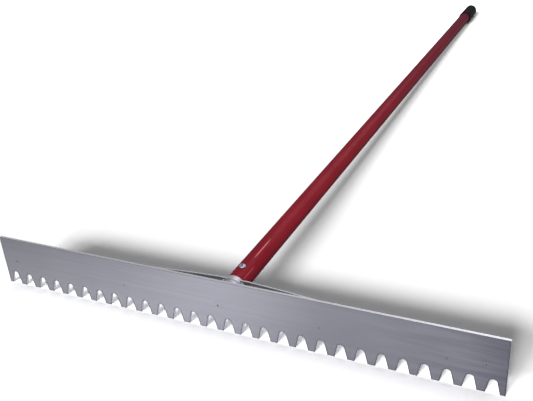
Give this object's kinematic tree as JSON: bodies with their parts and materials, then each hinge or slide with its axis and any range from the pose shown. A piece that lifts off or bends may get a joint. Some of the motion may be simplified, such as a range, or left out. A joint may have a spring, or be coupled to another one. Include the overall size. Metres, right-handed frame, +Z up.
{
  "type": "asphalt lute rake",
  "caption": "Wide flat blade with notches along its lower edge, braced to a boss that carries a long round handle with a vinyl cap.",
  "frame": {"origin": "middle of the centre tooth's tip, on the blade's lower edge", "axes": "+X along the blade, +Y back along the handle, +Z up; the tool stands on its teeth and on the cap at the end of its handle, so it leans back by 0.7 degrees"},
  "size_m": [0.9144, 2.2022, 0.0975],
  "materials": {
    "blade": "satin",
    "hub": "matte",
    "brace": "satin",
    "weld": "satin",
    "rivet": "satin",
    "zinc_steel": "polished",
    "powder_coat": "gloss",
    "vinyl": "satin",
    "nylon": "satin"
  },
  "bodies": {
    "root": {"blade": "blade", "hub": "hub", "brace_right": "brace", "brace_left": "brace", "weld_front_right": "weld", "weld_back_right": "weld", "weld_front_left": "weld", "weld_back_left": "weld", "brace_rivet_right": "rivet", "brace_rivet_left": "rivet", "hub_screw": "zinc_steel", "handle_tube": "powder_coat", "handle_bolt": "zinc_steel", "bolt_washer": "zinc_steel", "bolt_nut": "zinc_steel", "nut_insert": "nylon", "end_cap": "vinyl"}
  },
  "joints": []
}
